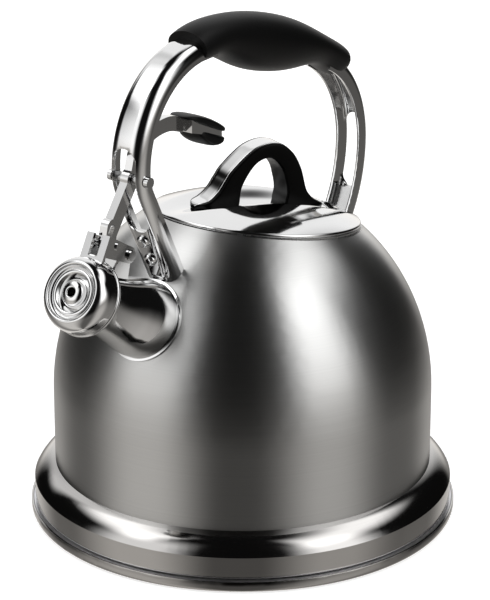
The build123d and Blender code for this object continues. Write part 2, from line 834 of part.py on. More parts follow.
parts = {
    "base_cap": base_cap,
    "base_core": base_core,
    "base_pan": base_pan,
    "body_shell": body_shell,
    "lid_seat": lid_seat,
    "spout_tube": spout_tube,
    "spout_collar": spout_collar,
    "spout_ear": spout_ear,
    "hinge_rivets": hinge_rivets,
    "cap_shell": cap_shell,
    "whistle_front_disc": whistle_front_disc,
    "whistle_rear_disc": whistle_rear_disc,
    "cap_bracket": cap_bracket,
    "link_pin": link_pin,
    "handle_front_arm": handle_front_arm,
    "handle_rear_arm": handle_rear_arm,
    "front_bracket": front_bracket,
    "rear_bracket": rear_bracket,
    "front_screws": front_screws,
    "rear_screws": rear_screws,
    "grip": grip,
    "lever_pin": lever_pin,
    "pin_spacers": pin_spacers,
    "lever": lever,
    "trigger_pad_top": trigger_pad_top,
    "trigger_pad_bottom": trigger_pad_bottom,
    "lid_shell": lid_shell,
    "lid_plug": lid_plug,
    "knob_core": knob_core,
    "knob_strap": knob_strap,
    "knob_screws": knob_screws,
}

os.makedirs("parts", exist_ok=True)
for name, make in parts.items():
    export_step(make(), f"parts/{name}.step")
    print(name)
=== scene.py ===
"""Stovetop whistling kettle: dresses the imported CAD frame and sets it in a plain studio."""

import json
import logging
import math
from dataclasses import dataclass
from enum import Enum
from typing import Sequence

import bpy
import numpy as np
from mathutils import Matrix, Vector


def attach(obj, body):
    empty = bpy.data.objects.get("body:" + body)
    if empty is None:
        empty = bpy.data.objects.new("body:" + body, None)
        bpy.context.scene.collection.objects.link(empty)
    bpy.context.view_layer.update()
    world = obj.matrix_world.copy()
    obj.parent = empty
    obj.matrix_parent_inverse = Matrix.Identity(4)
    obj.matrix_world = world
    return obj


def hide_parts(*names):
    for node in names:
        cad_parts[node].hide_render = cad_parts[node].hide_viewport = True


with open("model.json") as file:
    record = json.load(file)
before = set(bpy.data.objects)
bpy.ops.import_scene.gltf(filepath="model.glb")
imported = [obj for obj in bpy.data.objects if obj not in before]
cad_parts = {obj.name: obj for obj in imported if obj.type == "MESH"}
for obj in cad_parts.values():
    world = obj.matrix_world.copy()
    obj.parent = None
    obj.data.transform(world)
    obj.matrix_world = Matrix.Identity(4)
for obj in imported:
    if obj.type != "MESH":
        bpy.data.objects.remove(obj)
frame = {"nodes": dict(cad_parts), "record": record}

LOG = logging.getLogger("kettle")
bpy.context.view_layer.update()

Piece = bpy.types.Object
Tree = bpy.types.NodeTree
Socket = bpy.types.NodeSocket

# Metres in a millimetre, and the distance in metres within which points of a seam are one
MM = 0.001
WELD_DISTANCE = 2e-6

# Degrees between two faces: past the first an edge is rounded, past the second it stays sharp
EDGE_ANGLE = 40.0
SPLIT_ANGLE = 15.0

# Share of a side that one cut takes off at a corner
CORNER_CUT = 0.25

WHITE = (1.0, 1.0, 1.0, 1.0)


class Grain(Enum):
    """Direction of the fine marks that a finish leaves on its piece."""

    RINGS = "rings"
    CLOUD = "cloud"


@dataclass(frozen=True)
class Finish:
    """Look of one material, built from procedural nodes.

    Attributes:
        name: Name of the material.
        color: Linear base colour.
        metallic: Metallic share of the shader.
        roughness: Mean roughness.
        spread: How far the roughness swings about its mean.
        grain: Direction of the fine marks.
        grain_scale: Marks per metre.
        bump: Height of the fine marks in metres.
        tint: How far the colour swings about its mean.
        anisotropy: Stretch of the highlight across the marks.
        specular: Strength of the gloss where the piece isn't metal.
        stretch_turn: Turn of the stretched highlight, as a share of a full turn.
        detail: Octaves of the fine marks.
        smoothest: Least roughness that the swing may reach.
    """

    name: str
    color: tuple[float, float, float]
    metallic: float
    roughness: float
    spread: float = 0.03
    grain: Grain = Grain.CLOUD
    grain_scale: float = 300.0
    bump: float = 0.00001
    tint: float = 0.04
    anisotropy: float = 0.0
    specular: float = 0.5
    stretch_turn: float = 0.25
    detail: float = 4.0
    smoothest: float = 0.02

    def build(self) -> bpy.types.Material:
        """Makes the material.

        Returns:
            The new material.
        """
        material = bpy.data.materials.new(self.name)
        material.use_nodes = True
        tree = material.node_tree
        shader = tree.nodes["Principled BSDF"]
        shader.inputs["Metallic"].default_value = self.metallic
        shader.inputs["Anisotropic"].default_value = self.anisotropy
        shader.inputs["Anisotropic Rotation"].default_value = self.stretch_turn
        shader.inputs["Specular IOR Level"].default_value = self.specular
        marks = self._marks(tree)
        self._swing(tree, marks, shader)
        bump = tree.nodes.new("ShaderNodeBump")
        bump.inputs["Distance"].default_value = self.bump
        tree.links.new(marks, bump.inputs["Height"])
        tree.links.new(bump.outputs["Normal"], shader.inputs["Normal"])
        if self.anisotropy:
            tangent = tree.nodes.new("ShaderNodeTangent")
            tangent.direction_type = "RADIAL"
            tangent.axis = "Z"
            tree.links.new(tangent.outputs["Tangent"], shader.inputs["Tangent"])
        return material

    def _marks(self, tree: Tree) -> Socket:
        """Adds the texture of the fine marks: noise in space, or rings of noise on height less radius.

        Args:
            tree: Node tree of the material.

        Returns:
            Socket that carries the marks from 0 to 1.
        """
        coords = tree.nodes.new("ShaderNodeTexCoord")
        noise = tree.nodes.new("ShaderNodeTexNoise")
        noise.inputs["Scale"].default_value = self.grain_scale
        noise.inputs["Detail"].default_value = self.detail
        if self.grain is not Grain.RINGS:
            tree.links.new(coords.outputs["Object"], noise.inputs["Vector"])
            return noise.outputs["Fac"]
        noise.noise_dimensions = "1D"
        parts = tree.nodes.new("ShaderNodeSeparateXYZ")
        flat = tree.nodes.new("ShaderNodeCombineXYZ")
        reach = tree.nodes.new("ShaderNodeVectorMath")
        reach.operation = "LENGTH"
        total = tree.nodes.new("ShaderNodeMath")
        total.operation = "SUBTRACT"
        tree.links.new(coords.outputs["Object"], parts.inputs["Vector"])
        tree.links.new(parts.outputs["X"], flat.inputs["X"])
        tree.links.new(parts.outputs["Y"], flat.inputs["Y"])
        tree.links.new(flat.outputs["Vector"], reach.inputs[0])
        tree.links.new(parts.outputs["Z"], total.inputs[0])
        tree.links.new(reach.outputs["Value"], total.inputs[1])
        tree.links.new(total.outputs["Value"], noise.inputs["W"])
        return noise.outputs["Fac"]

    def _swing(self, tree: Tree, marks: Socket, shader: bpy.types.Node) -> None:
        """Lets roughness and colour swing with the marks.

        Args:
            tree: Node tree of the material.
            marks: Socket of the fine marks.
            shader: Shader that takes both.
        """
        rough = tree.nodes.new("ShaderNodeMapRange")
        rough.inputs["To Min"].default_value = max(self.roughness - self.spread, self.smoothest)
        rough.inputs["To Max"].default_value = self.roughness + self.spread
        tree.links.new(marks, rough.inputs["Value"])
        tree.links.new(rough.outputs["Result"], shader.inputs["Roughness"])
        ramp = tree.nodes.new("ShaderNodeValToRGB")
        for element, swing in zip(ramp.color_ramp.elements, (1 - self.tint, 1 + self.tint)):
            element.color = (*(channel * swing for channel in self.color), 1.0)
        tree.links.new(marks, ramp.inputs["Fac"])
        tree.links.new(ramp.outputs["Color"], shader.inputs["Base Color"])


SATIN = Finish(
    "satin_steel", (0.50, 0.50, 0.495), metallic=1.0, roughness=0.30, spread=0.05,
    grain=Grain.RINGS, grain_scale=900.0, bump=0.000006, tint=0.05, anisotropy=0.80)
SMOKY = Finish(
    "smoky_steel", (0.44, 0.43, 0.42), metallic=1.0, roughness=0.09, spread=0.02,
    grain=Grain.RINGS, grain_scale=500.0, bump=0.000002, tint=0.03)
CHROME = Finish(
    "polished_chrome", (0.68, 0.68, 0.68), metallic=1.0, roughness=0.07, spread=0.02,
    grain=Grain.CLOUD, grain_scale=90.0, bump=0.000004, tint=0.02)
INNER = Finish(
    "plain_steel", (0.56, 0.56, 0.56), metallic=1.0, roughness=0.28, spread=0.06,
    grain=Grain.CLOUD, grain_scale=400.0, bump=0.000008, tint=0.05)
CORE = Finish(
    "plain_aluminium", (0.70, 0.70, 0.72), metallic=1.0, roughness=0.35, spread=0.06,
    grain=Grain.CLOUD, grain_scale=300.0, bump=0.00001, tint=0.05)
SOFT = Finish(
    "soft_black", (0.003, 0.003, 0.003), metallic=0.0, roughness=0.46, spread=0.05,
    grain=Grain.CLOUD, grain_scale=1400.0, bump=0.00002, tint=0.15, specular=0.16)
MOULDED = Finish(
    "moulded_black", (0.001, 0.001, 0.001), metallic=0.0, roughness=0.30, spread=0.05,
    grain=Grain.CLOUD, grain_scale=1100.0, bump=0.00001, tint=0.12, specular=0.06)

# Width in millimetres of the rounding on the edges of CAD nodes, and the nodes whose seam is closed
SOFT_EDGES = {
    "handle_front_arm": 0.45,
    "handle_rear_arm": 0.45,
    "cap_bracket": 0.3,
    "spout_ear": 0.3,
    "base_cap": 0.4,
}
SEAMED = ("body_shell", "base_pan")


class Wardrobe:
    """Builds each finish once and puts it on the record's slots."""

    def __init__(self) -> None:
        """Makes the materials of every slot."""
        finishes = {
            "body_steel": SATIN,
            "base_steel": SMOKY,
            "chrome": CHROME,
            "inner_steel": INNER,
            "core_metal": CORE,
            "soft_black": SOFT,
            "knob_black": MOULDED,
        }
        self.materials = {slot: finish.build() for slot, finish in finishes.items()}
        self.slots = {row["node"]: row["material_slot"] for row in frame["record"]["subparts"]}

    def dress(self, node: str) -> None:
        """Puts the finish of its slot on a CAD node.

        Args:
            node: Name of the node.
        """
        obj = frame["nodes"][node]
        obj.data.materials.clear()
        obj.data.materials.append(self.materials[self.slots[node]])
        LOG.info("dressed %s", node)

    def soften(self, node: str, width: float, segments: int = 2) -> None:
        """Rounds the sharp edges of a CAD node a little, for the light on them.

        Args:
            node: Name of the node.
            width: Width of the rounding in millimetres.
            segments: Faces across the rounding.
        """
        bevel = self._welded(node).modifiers.new("bevel", "BEVEL")
        bevel.width = width * MM
        bevel.segments = segments
        bevel.limit_method = "ANGLE"
        bevel.angle_limit = math.radians(EDGE_ANGLE)
        bevel.harden_normals = True

    def seal(self, node: str) -> None:
        """Closes the seam of a turned CAD node, so that light runs across it, and keeps its sharp edges.

        Args:
            node: Name of the node.
        """
        split = self._welded(node).modifiers.new("split", "EDGE_SPLIT")
        split.split_angle = math.radians(SPLIT_ANGLE)

    def _welded(self, node: str) -> Piece:
        """Joins the loose triangles of a CAD node.

        Args:
            node: Name of the node.

        Returns:
            The node's object.
        """
        obj = frame["nodes"][node]
        weld = obj.modifiers.new("weld", "WELD")
        weld.merge_threshold = WELD_DISTANCE
        return obj

    def fit(self, piece: Piece, node: str, body: str) -> None:
        """Lets a new piece stand for a CAD node, on its body and with its finish.

        Args:
            piece: New piece.
            node: CAD node that it stands for.
            body: Body that carries it.
        """
        piece.data.materials.append(self.materials[self.slots[node]])
        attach(piece, body)
        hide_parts(node)
        LOG.info("built %s", piece.name)


@dataclass(frozen=True)
class Place:
    """Local frame of a piece in the part's frame.

    Attributes:
        origin: Origin in millimetres.
        lean: Degrees by which the local Z axis leans from the part's Z axis towards its X axis.
        turn: Degrees by which the local X axis is turned about the local Z axis.
    """

    origin: tuple[float, float, float]
    lean: float
    turn: float = 0.0

    def world(self, points: np.ndarray) -> np.ndarray:
        """Moves local points into the part's frame: the origin plus each local axis times its coordinate.

        Args:
            points: Local points in millimetres, with the coordinates last.

        Returns:
            The points in metres.
        """
        lean, turn = math.radians(self.lean), math.radians(self.turn)
        x_dir = np.array([math.cos(turn) * math.cos(lean), math.sin(turn), -math.cos(turn) * math.sin(lean)])
        z_dir = np.array([math.sin(lean), 0.0, math.cos(lean)])
        axes = np.stack([x_dir, np.cross(z_dir, x_dir), z_dir])
        return (points @ axes + np.array(self.origin)) * MM


LID_PLACE = Place((12.2, 0.0, 154.2991), lean=8.5, turn=-29.0)
TONGUE_PLACE = Place((-50.0, 0.0, 217.2), lean=20.74)
SPOUT_PLACE = Place((-134.0, 0.0, 155.8), lean=-60.6)

# Height in millimetres of the floor of the lid's valley, where the knob stands
VALLEY_FLOOR = 3.6


def rounded(points: Sequence[tuple[float, float]], cuts: int) -> np.ndarray:
    """Rounds a closed outline: each cut swaps every corner for two points on the sides that meet there.

    Args:
        points: Corners of the outline.
        cuts: Number of cuts.

    Returns:
        The rounded outline.
    """
    line = np.array(points, dtype=float)
    for _ in range(cuts):
        after = np.roll(line, -1, axis=0)
        near = (1 - CORNER_CUT) * line + CORNER_CUT * after
        far = CORNER_CUT * line + (1 - CORNER_CUT) * after
        line = np.stack([near, far], axis=1).reshape(-1, 2)
    return line


def smooth_line(points: Sequence[tuple[float, float]], steps: int) -> np.ndarray:
    """Runs an open line through points: cubics whose slope at a point is half its neighbours' distance.

    Args:
        points: Points that the line passes.
        steps: Steps between two points.

    Returns:
        Points along the line.
    """
    knots = np.array(points, dtype=float)
    ends = np.concatenate([[2 * knots[0] - knots[1]], knots, [2 * knots[-1] - knots[-2]]])
    spans = len(knots) - 1
    before, start, stop, after = (ends[shift:shift + spans, None] for shift in range(4))
    slope = stop - before
    bend = 2 * before - 5 * start + 4 * stop - after
    twist = 3 * start - before - 3 * stop + after
    t = np.linspace(0, 1, steps, endpoint=False)[:, None]
    line = 0.5 * (2 * start + slope * t + bend * t ** 2 + twist * t ** 3)
    return np.concatenate([line.reshape(-1, 2), knots[-1:]])


def woven(name: str, rows: np.ndarray, closed: bool) -> Piece:
    """Makes a smooth closed piece from a grid of points whose rows are rings.

    The signed volume inside the quads, a sum of triple products, says whether the faces are turned round.

    Args:
        name: Name of the piece.
        rows: Points in metres, one ring per row.
        closed: Whether the last row joins the first, or else both get a lid.

    Returns:
        The new piece.
    """
    count, around = rows.shape[:2]
    last = count if closed else count - 1
    row, step = np.meshgrid(np.arange(last), np.arange(around), indexing="ij")
    above, beside = (row + 1) % count, (step + 1) % around
    corners = (row * around + step, row * around + beside, above * around + beside, above * around + step)
    quads = np.stack(corners, axis=-1).reshape(-1, 4)
    points = rows.reshape(-1, 3)
    a, b, c, d = (points[quads[:, corner]] for corner in range(4))
    volume = np.einsum("ij,ij->", a, np.cross(b, c)) + np.einsum("ij,ij->", a, np.cross(c, d))
    faces = quads.tolist()
    if not closed:
        faces += [list(range(around))[::-1], list(range((count - 1) * around, count * around))]
    if volume < 0:
        faces = [face[::-1] for face in faces]
    mesh = bpy.data.meshes.new(name)
    mesh.from_pydata(points.tolist(), [], faces)
    mesh.polygons.foreach_set("use_smooth", [True] * len(mesh.polygons))
    piece = bpy.data.objects.new(name, mesh)
    bpy.context.scene.collection.objects.link(piece)
    return piece


def turned(name: str, outline: np.ndarray, place: Place, around: int = 160) -> Piece:
    """Turns a closed outline about the local Z axis: each point runs round a circle at its own height.

    Args:
        name: Name of the piece.
        outline: Outline as radius and height in millimetres.
        place: Local frame.
        around: Steps around the axis.

    Returns:
        The new piece.
    """
    angle = np.linspace(0, 2 * math.pi, around, endpoint=False)
    radius, height = outline[:, :1], outline[:, 1:]
    points = np.stack([radius * np.cos(angle), radius * np.sin(angle), height + 0 * angle], axis=-1)
    return woven(name, place.world(points), closed=True)


@dataclass
class Lid:
    """Lid with a valley pressed across it, whose crests are rounded as in the photo.

    Attributes:
        place: Frame of the lid, with X along the knob.
        radius: Radius of the rim in millimetres.
        low: Height of the rim's lower edge.
        rim: Height of the rim's upper edge.
        crown: Rise of the cap above the rim.
        floor: Height of the valley's floor.
        valley: Radius of the valley's section.
        soft: Width over which cap and valley blend.
        sheet: Thickness of the sheet.
        edge: Rounding of the rim.
        pole: Radius of the small face that closes the middle.
        steepest: Share of the valley's radius past which its wall climbs no further.
        around: Steps around the lid.
        rings: Rings on its upper side.
        under_rings: Rings on its under side.
        bends: Steps of the rim's rounding.
    """

    place: Place
    radius: float = 52.9
    low: float = 0.2
    rim: float = 1.6
    crown: float = 10.6
    floor: float = VALLEY_FLOOR
    valley: float = 26.0
    soft: float = 5.0
    sheet: float = 1.0
    edge: float = 0.6
    pole: float = 0.4
    steepest: float = 0.98
    around: int = 288
    rings: int = 110
    under_rings: int = 60
    bends: int = 5

    def height(self, x: np.ndarray, y: np.ndarray) -> np.ndarray:
        """Gives the height of the outer surface: the lower of a sphere's cap and a round trough, blended.

        Args:
            x: Place along the knob.
            y: Place across the knob.

        Returns:
            Height above the lid's plane.
        """
        sphere = (self.radius ** 2 + self.crown ** 2) / (2 * self.crown)
        reach = np.minimum(x * x + y * y, self.radius ** 2)
        cap = self.rim + self.crown - sphere + np.sqrt(sphere ** 2 - reach)
        inside = np.minimum(np.abs(y), self.steepest * self.valley)
        trough = self.floor + self.valley - np.sqrt(self.valley ** 2 - inside ** 2)
        blend = np.clip(0.5 + 0.5 * (trough - cap) / self.soft, 0, 1)
        return trough + (cap - trough) * blend - self.soft * blend * (1 - blend)

    def build(self) -> Piece:
        """Makes the lid's shell.

        Returns:
            The new piece.
        """
        angle = np.linspace(0, 2 * math.pi, self.around, endpoint=False)
        turn = np.linspace(0, math.pi / 2, self.bends + 1)[1:]
        flat = np.linspace(self.pole, self.radius - self.edge, self.rings)
        reach = np.concatenate([flat, self.radius - self.edge * (1 - np.sin(turn))])
        drop = np.concatenate([0 * flat, self.edge * (1 - np.cos(turn))])
        top = self._ring(reach, angle, -drop)
        skirt = self._ring(np.array([self.radius]), angle, 0)
        skirt[..., 2] = self.low
        inwards = np.linspace(self.radius - self.sheet, self.pole, self.under_rings)
        under = self._ring(inwards, angle, -self.sheet)
        under[0, :, 2] = self.low
        return woven("lid_pressed", self.place.world(np.concatenate([top, skirt, under])), closed=False)

    def _ring(self, reach: np.ndarray, angle: np.ndarray, lift: np.ndarray | float) -> np.ndarray:
        """Gives rings of points on the outer surface, moved up or down.

        Args:
            reach: Radius of each ring.
            angle: Angles around the ring.
            lift: Lift of each ring, or of all of them.

        Returns:
            Local points in millimetres.
        """
        x, y = reach[:, None] * np.cos(angle), reach[:, None] * np.sin(angle)
        raised = self.height(x, y) + np.broadcast_to(lift, reach.shape)[:, None]
        return np.stack([x, y, raised], axis=-1)


@dataclass
class Whistle:
    """Front of the spout's cap: a ringed shell and a dished disc with a pierced dome.

    Attributes:
        place: Frame of the cap, with Z out of the spout.
        shell: Outline of the shell as radius and height.
        disc: Outline of the disc as radius and height.
        cuts: Cuts that round the corners of both.
    """

    place: Place
    shell: Sequence[tuple[float, float]] = (
        (12.2, -2.6), (12.5, -2.4), (13.1, -2.0), (13.3, -0.8), (13.6, 0.0), (14.2, 0.2), (14.9, 0.0),
        (15.5, -0.4), (16.6, -1.4), (17.6, -2.9), (18.3, -5.0), (18.5, -7.0), (18.5, -9.5), (18.5, -11.6),
        (18.5, -12.0), (18.9, -12.3), (19.1, -12.9), (19.0, -13.7), (18.6, -14.0), (17.5, -14.0),
        (17.3, -13.6), (17.3, -7.0), (16.6, -3.6), (15.0, -1.6), (13.8, -1.3),
    )
    disc: Sequence[tuple[float, float]] = (
        (2.2, -0.9), (2.2, -0.3), (2.6, 0.1), (3.6, 0.0), (4.8, -0.4), (5.8, -1.1), (6.2, -2.2),
        (6.3, -3.6), (6.8, -4.2), (7.6, -3.7), (9.2, -1.8), (9.6, -1.3), (10.4, -1.1), (11.3, -1.3),
        (11.7, -2.2), (12.8, -2.6), (12.8, -3.4), (10.6, -3.4), (9.0, -4.2), (7.4, -5.0), (6.0, -4.8),
        (5.2, -3.0), (3.8, -1.6), (2.5, -1.3),
    )
    cuts: int = 2

    def build(self) -> dict[str, Piece]:
        """Makes both pieces.

        Returns:
            The new pieces by the CAD node that each stands for.
        """
        return {
            "cap_shell": turned("cap_ringed", rounded(self.shell, self.cuts), self.place),
            "whistle_front_disc": turned("whistle_dished", rounded(self.disc, self.cuts), self.place),
        }


@dataclass
class Spout:
    """Spout tube that widens steadily from its mouth to its root in the dome.

    Attributes:
        place: Frame of the spout, with Z out of it.
        wall: Points of its outer wall as radius and height, from mouth to root.
        sheet: Thickness of the sheet.
        edge: Rounding of its mouth.
        lip: Points across the mouth's edge, as shares of the sheet.
        steps: Steps between two points of the wall.
    """

    place: Place
    wall: Sequence[tuple[float, float]] = (
        (14.5, -10.5), (14.5, -18.0), (14.7, -24.0), (15.4, -31.0), (16.5, -38.0), (17.9, -45.0),
        (19.2, -52.0), (19.6, -58.0), (19.6, -64.0),
    )
    sheet: float = 1.2
    edge: float = 0.3
    lip: Sequence[float] = (0.75, 0.5, 0.25)
    steps: int = 8

    def build(self) -> Piece:
        """Makes the tube: a smooth line through the wall's points, its copy inside, and the lip between.

        Returns:
            The new piece.
        """
        outer = smooth_line(self.wall, self.steps)
        outer[0, 1] -= self.edge
        lip = np.array([(outer[0, 0] - share * self.sheet, self.wall[0][1]) for share in self.lip])
        inner = outer[::-1] - (self.sheet, 0.0)
        return turned("spout_flared", np.concatenate([outer, inner, lip]), self.place)


@dataclass
class Knob:
    """Arched knob: a rounded core round its finger hole, with a strap let into the core's back.

    Attributes:
        place: Frame of the lid, with X along the knob.
        lift: Height of the valley's floor, which the lines are measured from.
        outer: Points of the core's outer line from toe to toe.
        inner: Points of the foot and the hole that lie across from them.
        width: Half the core's width.
        edge: Rounding of the core's edges.
        nose: Length over which each toe is rounded.
        strap: Half the strap's width.
        proud: Height of the strap over the core.
        sunk: Depth of the strap in the core.
        section: Upper side of the strap as shares of its half width and of its height over the core.
        thin: Greatest rounding where the core is thin, as a share of its depth or half width.
        blunt: Power that the toes are rounded by.
        stub: Share of the nose at which a toe ends.
        tip: Size of the small face that closes a toe, as a share of its section.
        steps: Steps between two points of a line.
        short: Steps by which the strap ends before the core.
        bends: Steps of the core's rounding.
    """

    place: Place
    lift: float = VALLEY_FLOOR
    outer: Sequence[tuple[float, float]] = (
        (-36.8, 0.6), (-35.4, 2.8), (-30.5, 4.9), (-26.0, 9.5), (-22.6, 15.3), (-18.8, 21.2),
        (-8.0, 31.6), (3.5, 35.0), (12.1, 31.2), (18.1, 23.0), (22.1, 12.3), (24.6, 8.7),
        (28.0, 6.0), (34.0, 3.2), (35.4, 0.8),
    )
    inner: Sequence[tuple[float, float]] = (
        (-36.4, -0.4), (-33.0, -0.4), (-26.0, -0.4), (-16.0, -0.4), (-14.4, 3.6), (-13.5, 13.0),
        (-7.2, 24.0), (0.6, 27.4), (7.2, 22.6), (10.3, 15.6), (11.8, 9.4), (11.3, 3.6),
        (12.8, -0.4), (28.0, -0.4), (35.0, -0.4),
    )
    width: float = 9.0
    edge: float = 1.2
    nose: float = 7.0
    strap: float = 6.6
    proud: float = 0.25
    sunk: float = 0.8
    section: Sequence[tuple[float, float]] = (
        (1.0, 0.0), (0.97, 0.7), (0.9, 1.0), (0.5, 1.0), (0.0, 1.0), (-0.5, 1.0), (-0.9, 1.0),
        (-0.97, 0.7), (-1.0, 0.0),
    )
    thin: float = 0.45
    blunt: float = 2.4
    stub: float = 0.01
    tip: float = 0.02
    steps: int = 16
    short: int = 8
    bends: int = 5

    def build(self) -> dict[str, Piece]:
        """Makes both pieces.

        Returns:
            The new pieces by the CAD node that each stands for.
        """
        return {"knob_core": self._core(), "knob_strap": self._strap()}

    def _core(self) -> Piece:
        """Makes the core: oblongs with quarter-round corners that span from the inner line to the outer one.

        Returns:
            The new piece.
        """
        outer, inner = smooth_line(self.outer, self.steps), smooth_line(self.inner, self.steps)
        span = outer - inner
        deep = np.linalg.norm(span, axis=1)[:, None]
        half = self._half(outer, self.width)
        edge = np.minimum(self.edge, self.thin * np.minimum(deep, half))
        turn = np.linspace(0, math.pi / 2, self.bends + 1)
        into, beside = edge * (1 - np.sin(turn)) / deep, half - edge * (1 - np.cos(turn))
        share = np.concatenate([1 - into, 1 - into[:, ::-1], into, into[:, ::-1]], axis=1)
        aside = np.concatenate([beside, -beside[:, ::-1], -beside, beside[:, ::-1]], axis=1)
        line = inner[:, None, :] + span[:, None, :] * share[..., None]
        return self._woven("knob_arch", line, aside)

    def _strap(self) -> Piece:
        """Makes the strap: its section carried along the outer line, square to it.

        Returns:
            The new piece.
        """
        outer = smooth_line(self.outer, self.steps)[self.short:-self.short]
        run = np.gradient(outer, axis=0)
        out = np.stack([-run[:, 1], run[:, 0]], axis=1) / np.linalg.norm(run, axis=1)[:, None]
        half = self._half(outer, self.strap)
        upper, under = np.array(self.section), np.array([-1.0, 0.0, 1.0])
        share = np.concatenate([upper[:, 0], under])
        rise = np.concatenate([upper[:, 1] * self.proud, 0 * under - self.sunk])
        line = outer[:, None, :] + out[:, None, :] * rise[None, :, None]
        return self._woven("knob_band", line, half * share)

    def _half(self, line: np.ndarray, width: float) -> np.ndarray:
        """Gives half a width along the knob, rounded off at both toes by the root of one less a power.

        Args:
            line: Points along the knob.
            width: Half the width between the toes.

        Returns:
            Half the width at each point, as a column.
        """
        reach = np.minimum(line[:, 0] - self.outer[0][0], self.outer[-1][0] - line[:, 0])
        gone = 1 - np.clip(reach / self.nose, self.stub, 1)
        return (width * np.sqrt(1 - gone ** self.blunt))[:, None]

    def _woven(self, name: str, line: np.ndarray, aside: np.ndarray) -> Piece:
        """Weaves sections along the knob and draws both ends in to a small face.

        Args:
            name: Name of the piece.
            line: Places along and above the knob, one section per row.
            aside: Places across the knob.

        Returns:
            The new piece.
        """
        points = np.stack([line[..., 0], aside, line[..., 1] + self.lift], axis=-1)
        middles = points[[0, -1]].mean(axis=1, keepdims=True)
        ends = middles + self.tip * (points[[0, -1]] - middles)
        return woven(name, self.place.world(np.concatenate([ends[:1], points, ends[1:]])), closed=False)


@dataclass
class Pad:
    """Plump pad on the trigger's tongue, wider than the tongue so that it laps over its sides.

    Attributes:
        name: Name of the piece.
        place: Frame of the tongue, with X towards its tip.
        start: First end along the tongue in millimetres.
        stop: Last end along the tongue.
        width: Half its width.
        top: Heights of its upper side at even steps along it.
        low: Heights of its lower side at even steps along it.
        square: Power that makes its sections square.
        blunt: Power that makes its ends blunt, seen from above.
        plan: Root that goes with it.
        full: Power that keeps it thick towards its ends.
        tip: Angle in radians at which an end is closed by a small face.
        rings: Sections along the pad.
        around: Steps around a section.
    """

    name: str
    place: Place
    start: float
    stop: float
    width: float
    top: Sequence[float]
    low: Sequence[float]
    square: float = 3.4
    blunt: float = 4.5
    plan: float = 2.6
    full: float = 6.0
    tip: float = 0.02
    rings: int = 64
    around: int = 96

    def build(self) -> Piece:
        """Makes the pad: squared ovals between its two sides, whose width and thickness close in at the ends.

        Returns:
            The new piece.
        """
        share = 0.5 - 0.5 * np.cos(np.linspace(self.tip, math.pi - self.tip, self.rings))
        angle = np.linspace(0, 2 * math.pi, self.around, endpoint=False)
        side, rise = self._squared(np.cos(angle)), self._squared(np.sin(angle))
        top, low = self._along(self.top, share), self._along(self.low, share)
        outwards = np.abs(2 * share - 1)
        half = self.width * (1 - outwards ** self.blunt) ** (1 / self.plan)
        thick = (top - low) / 2 * np.sqrt(1 - outwards ** self.full)
        x = self.start + (self.stop - self.start) * share[:, None] + 0 * angle
        y = half[:, None] * side
        z = ((top + low) / 2)[:, None] + thick[:, None] * rise
        return woven(self.name, self.place.world(np.stack([x, y, z], axis=-1)), closed=False)

    def _squared(self, wave: np.ndarray) -> np.ndarray:
        """Squares a wave up: its sign times a power of its size.

        Args:
            wave: Sine or cosine of the angles around a section.

        Returns:
            The squared wave.
        """
        return np.sign(wave) * np.abs(wave) ** (2 / self.square)

    def _along(self, heights: Sequence[float], share: np.ndarray) -> np.ndarray:
        """Runs one polynomial through heights at even steps.

        Args:
            heights: Heights at the steps.
            share: Places along the pad from 0 to 1.

        Returns:
            Height at each place.
        """
        steps = np.linspace(0, 1, len(heights))
        return np.polyval(np.polyfit(steps, heights, len(heights) - 1), share)


PADS = {
    "trigger_pad_top": Pad(
        "pad_upper", TONGUE_PLACE, start=-3.4, stop=30.6, width=8.5,
        top=(4.4, 6.1, 6.0, 4.8, 2.8), low=(2.4, 1.7, 1.1, 0.7, 0.6)),
    "trigger_pad_bottom": Pad(
        "pad_lower", TONGUE_PLACE, start=7.0, stop=31.0, width=8.3,
        top=(-0.5, -0.5, -0.6, -0.8, -1.0), low=(-2.6, -6.0, -7.2, -6.4, -2.6)),
}


@dataclass
class Shot:
    """Camera fitted to the photo.

    Attributes:
        target: Point that the camera looks at, in metres.
        distance: Distance to that point.
        azimuth: Degrees from the spout's direction towards -Y.
        elevation: Degrees above the horizon.
        lens: Focal length in millimetres for the sensor's height.
        sensor: Height of the sensor in millimetres.
        shift: Sideways shift of the picture.
    """

    target: tuple[float, float, float] = (0.0, 0.0, 0.1117)
    distance: float = 1.4
    azimuth: float = 36.85
    elevation: float = 20.48
    lens: float = 164.75
    sensor: float = 36.0
    shift: float = 0.004

    def place(self) -> None:
        """Adds the camera to the scene."""
        turn, rise = math.radians(self.azimuth), math.radians(self.elevation)
        back = Vector((-math.cos(turn) * math.cos(rise), -math.sin(turn) * math.cos(rise), math.sin(rise)))
        data = bpy.data.cameras.new("camera")
        data.sensor_fit = "VERTICAL"
        data.sensor_height = self.sensor
        data.lens = self.lens
        data.shift_x = self.shift
        camera = bpy.data.objects.new("camera", data)
        camera.location = Vector(self.target) + back * self.distance
        camera.rotation_euler = back.to_track_quat("Z", "Y").to_euler()
        bpy.context.scene.collection.objects.link(camera)
        bpy.context.scene.camera = camera


@dataclass(frozen=True)
class Panel:
    """Bright panel of the studio, drawn in the surroundings by direction.

    Attributes:
        azimuth: Degrees of its middle from the camera's side, positive to the right in the picture.
        half_width: Half its width in degrees.
        edge: Width of its soft edge in degrees.
        low: Elevation of its lower edge in degrees.
        high: Elevation of its upper edge in degrees.
        strength: Radiance.
    """

    azimuth: float
    half_width: float
    edge: float
    low: float
    high: float
    strength: float


